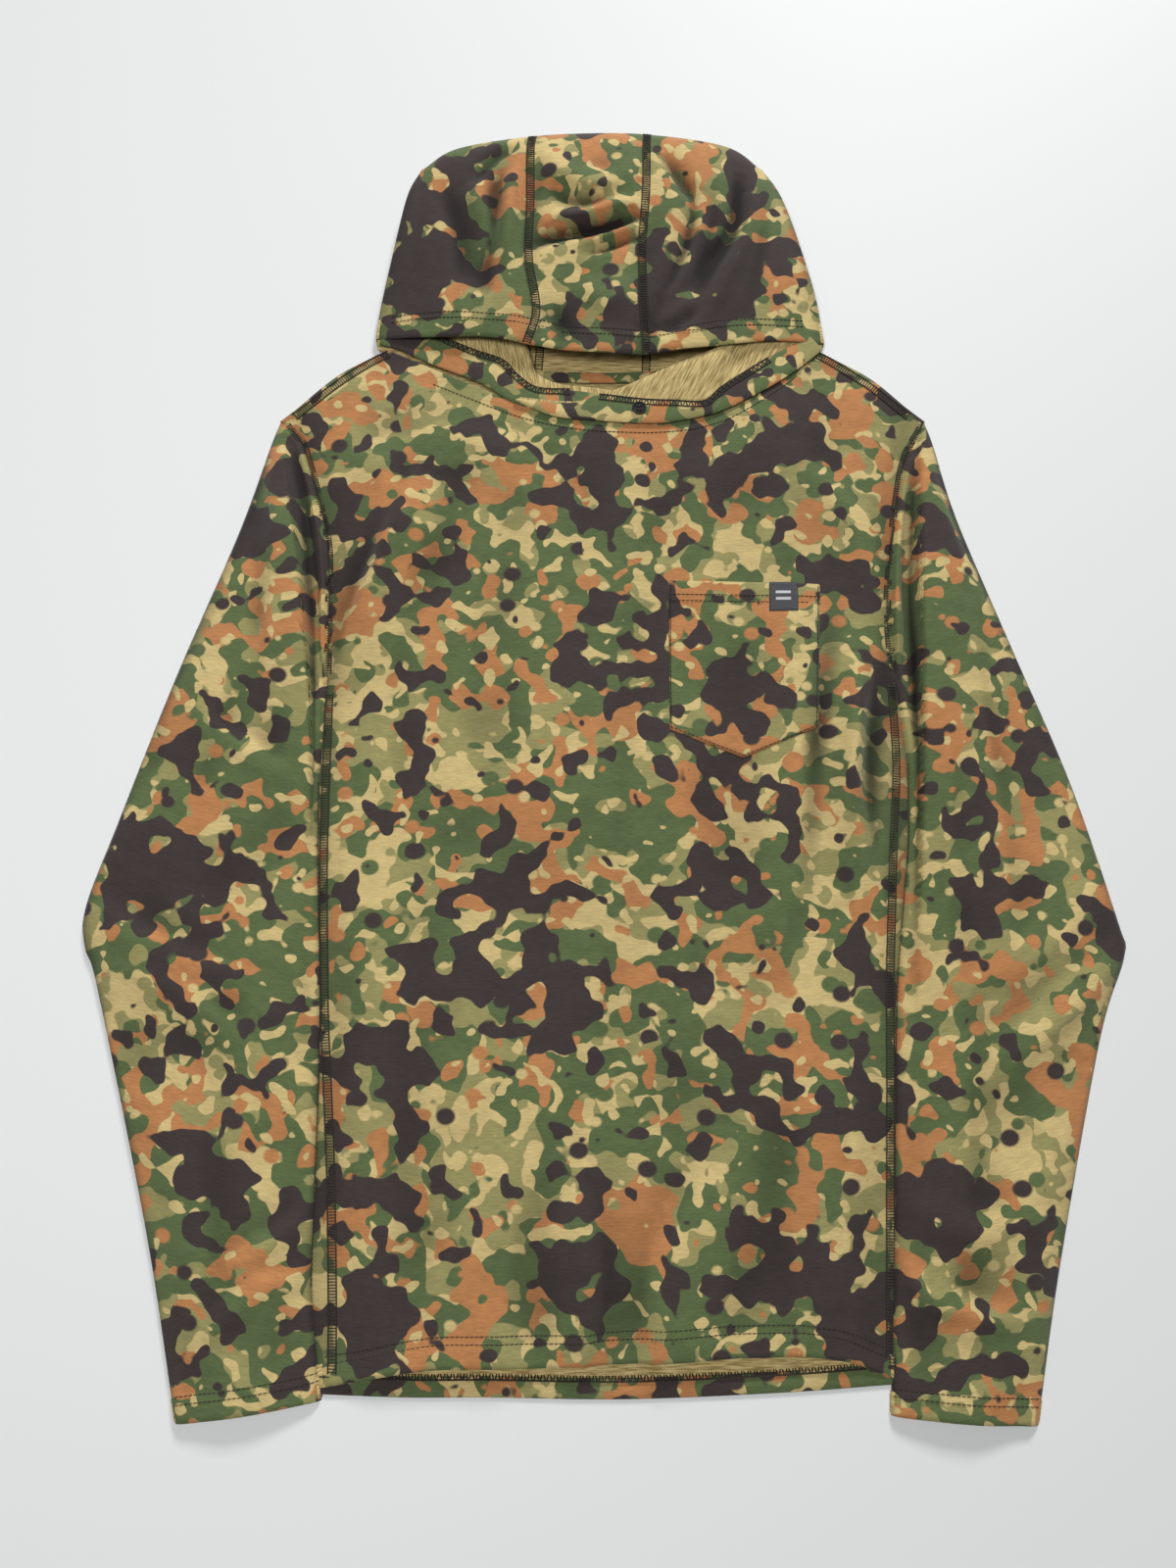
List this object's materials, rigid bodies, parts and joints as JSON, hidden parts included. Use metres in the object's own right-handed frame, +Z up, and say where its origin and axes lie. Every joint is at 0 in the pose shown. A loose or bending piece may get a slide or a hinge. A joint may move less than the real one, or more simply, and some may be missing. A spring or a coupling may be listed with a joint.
{
  "type": "hooded camouflage pullover",
  "caption": "Long-sleeved hooded pullover in blotch camouflage jersey, laid flat, with a wrapped neck, a button, a chest pocket and dark flat seams.",
  "frame": {"origin": "on the table, under the middle of the whole laid-out garment", "axes": "+X to the viewer's right (the wearer's left), +Y from the hem to the hood, +Z up off the table"},
  "size_m": [0.729, 0.9392, 0.038],
  "materials": {
    "camo_jersey": "matt knitted jersey printed with blotches of tan, olive, green, rust and dark brown",
    "neck_tape": "matt knitted tape",
    "thread": "matt polyester thread",
    "woven_label": "fine woven",
    "button": "polished"
  },
  "bodies": {
    "torso": {"body_back": "camo_jersey", "body_front": "camo_jersey", "left_neck_wrap": "camo_jersey", "right_neck_wrap": "camo_jersey", "neck_tape": "neck_tape", "chest_pocket": "camo_jersey", "pocket_label": "woven_label", "left_side_seam": "thread", "left_armhole_seam": "thread", "left_shoulder_seam": "thread", "right_side_seam": "thread", "right_armhole_seam": "thread", "right_shoulder_seam": "thread", "front_hem_stitching": "thread", "back_hem_stitching": "thread", "left_wrap_stitching": "thread", "right_wrap_stitching": "thread", "neck_topstitching": "thread", "pocket_hem_stitching": "thread", "pocket_topstitching": "thread"},
    "left_arm": {"left_sleeve": "camo_jersey", "left_cuff_stitching": "thread", "left_sleeve_seam": "thread"},
    "right_arm": {"right_sleeve": "camo_jersey", "right_cuff_stitching": "thread", "right_sleeve_seam": "thread"},
    "hood": {"hood_centre_panel": "camo_jersey", "hood_left_panel": "camo_jersey", "hood_right_panel": "camo_jersey", "hood_left_seam": "thread", "hood_right_seam": "thread", "hood_hem_stitching": "thread"},
    "button": {"neck_button": "button", "button_thread": "thread"}
  },
  "joints": [
    {"name": "left_shoulder_swing", "type": "hinge", "parent": "torso", "child": "left_arm", "pos_m": [-0.247, 0.234, 0.003], "axis": [0, 0, -1], "range_deg": [0, 25]},
    {"name": "right_shoulder_swing", "type": "hinge", "parent": "torso", "child": "right_arm", "pos_m": [0.247, 0.234, 0.003], "axis": [0, 0, 1], "range_deg": [0, 25]},
    {"name": "hood_lift", "type": "hinge", "parent": "torso", "child": "hood", "pos_m": [0, 0.262, 0.006], "axis": [1, 0, 0], "range_deg": [0, 100]},
    {"name": "button_play", "type": "slide", "parent": "torso", "child": "button", "axis": [0, 0, 1], "range_m": [0, 0.0015]}
  ]
}
